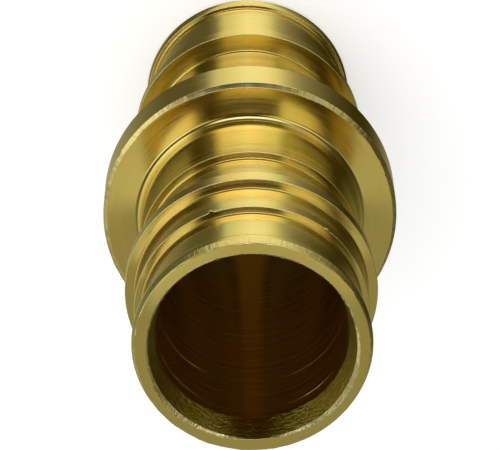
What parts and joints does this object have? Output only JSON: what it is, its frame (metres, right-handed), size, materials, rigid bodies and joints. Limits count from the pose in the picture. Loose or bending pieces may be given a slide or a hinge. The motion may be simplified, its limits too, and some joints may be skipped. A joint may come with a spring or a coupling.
{
  "type": "pex crimp coupling",
  "caption": "Straight turned brass coupling with ribbed hollow tails on both sides of a round stop collar; joins two plastic water pipes by crimping.",
  "frame": {"origin": "centre of the lower end face, on the axis of the waterway", "axes": "+Z along the axis of the waterway, up through the collar; X and Y are free, because the part is round"},
  "size_m": [0.0208, 0.0208, 0.041],
  "materials": {
    "brass": "turned, fine lathe marks"
  },
  "bodies": {
    "root": {"crimp_coupling": "brass"}
  },
  "joints": []
}
